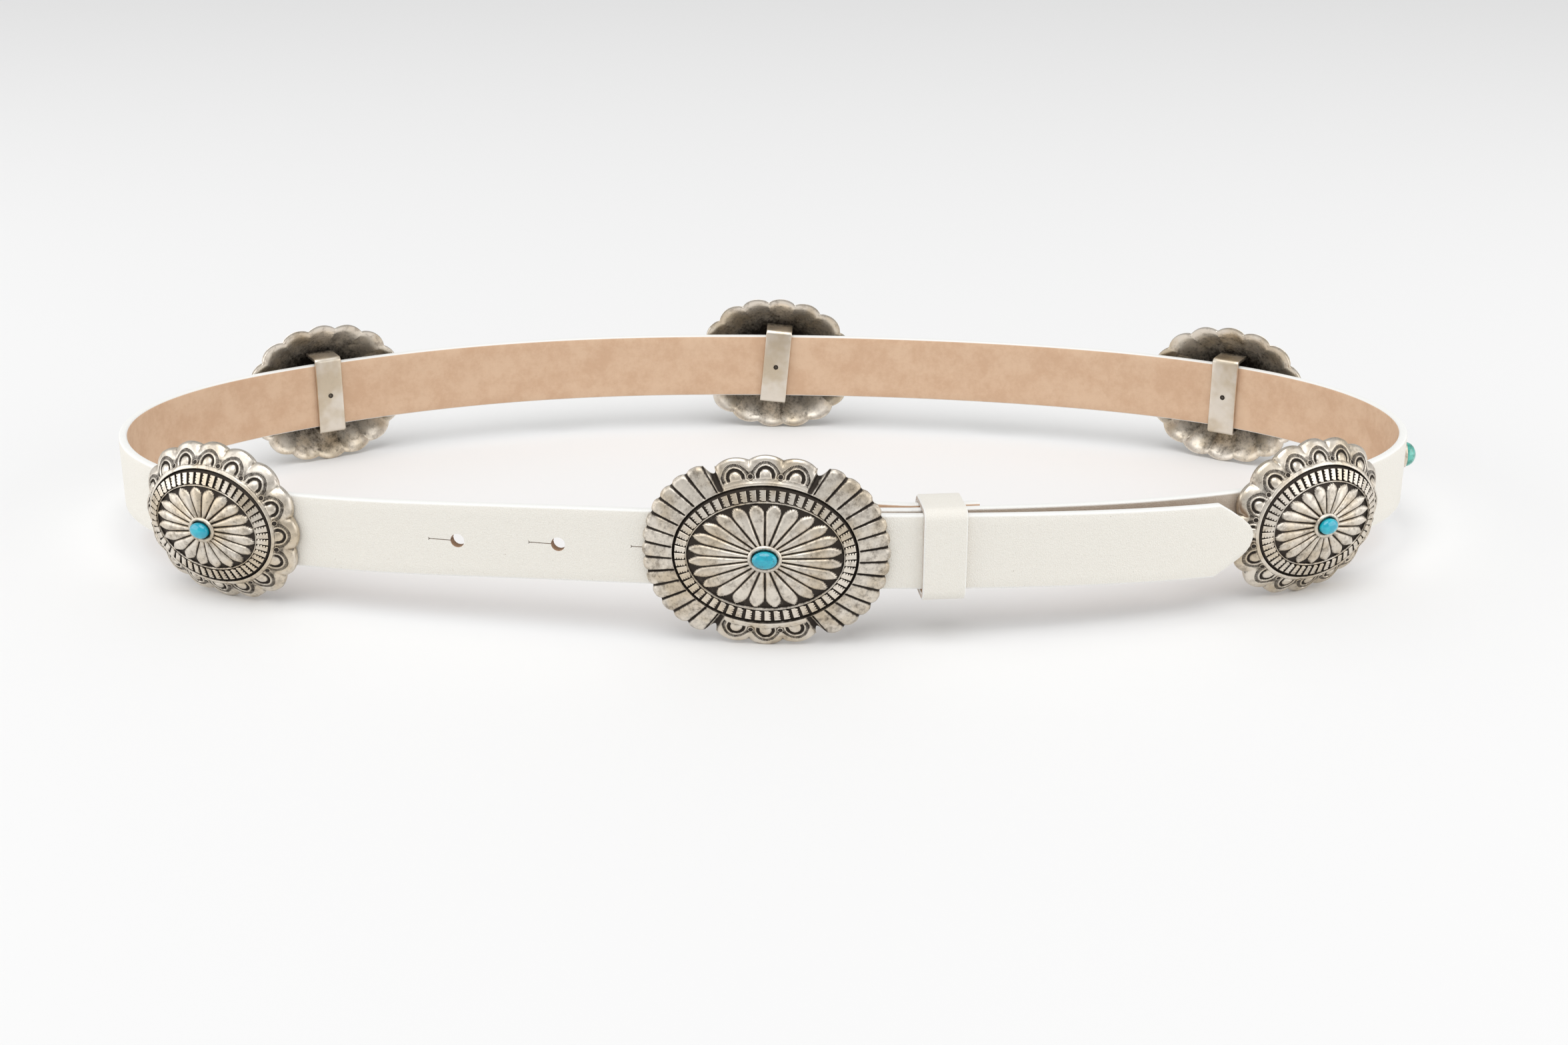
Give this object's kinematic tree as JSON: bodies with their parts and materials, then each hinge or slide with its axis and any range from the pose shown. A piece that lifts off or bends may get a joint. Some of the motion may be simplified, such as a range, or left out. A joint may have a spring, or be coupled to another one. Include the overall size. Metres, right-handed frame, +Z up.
{
  "type": "concho belt",
  "caption": "Narrow white leather belt buckled into a loop, with cast silver oval conchos, a scalloped oval buckle, a keeper and turquoise stones.",
  "frame": {"origin": "under the middle of the belt's bounding box, on the surface that it stands on", "axes": "+X to the right along the buckle as its front is seen, the buckle faces -Y, +Z up across the strap's width"},
  "size_m": [0.4732, 0.2464, 0.0643],
  "materials": {
    "white_leather": "matt off-white grain outside, tan flesh side inside",
    "antique_silver": "antiqued silver plate, bright on the high parts and dark in the recesses",
    "blue_turquoise": "polished",
    "green_turquoise": "polished"
  },
  "bodies": {
    "root": {"strap": "white_leather", "keeper": "white_leather", "fold_rivet": "antique_silver", "buckle": "antique_silver", "buckle_stone": "blue_turquoise", "concho_front_right": "antique_silver", "concho_front_right_stone": "blue_turquoise", "concho_back_right": "antique_silver", "concho_back_right_stone": "blue_turquoise", "concho_back_middle": "antique_silver", "concho_back_middle_stone": "blue_turquoise", "concho_back_left": "antique_silver", "concho_back_left_stone": "blue_turquoise", "concho_front_left": "antique_silver", "concho_front_left_stone": "blue_turquoise", "stud_right": "antique_silver", "stud_right_stone": "green_turquoise", "stud_back_right": "antique_silver", "stud_back_right_stone": "green_turquoise", "stud_back_left": "antique_silver", "stud_back_left_stone": "green_turquoise", "stud_left": "antique_silver", "stud_left_stone": "green_turquoise"}
  },
  "joints": []
}
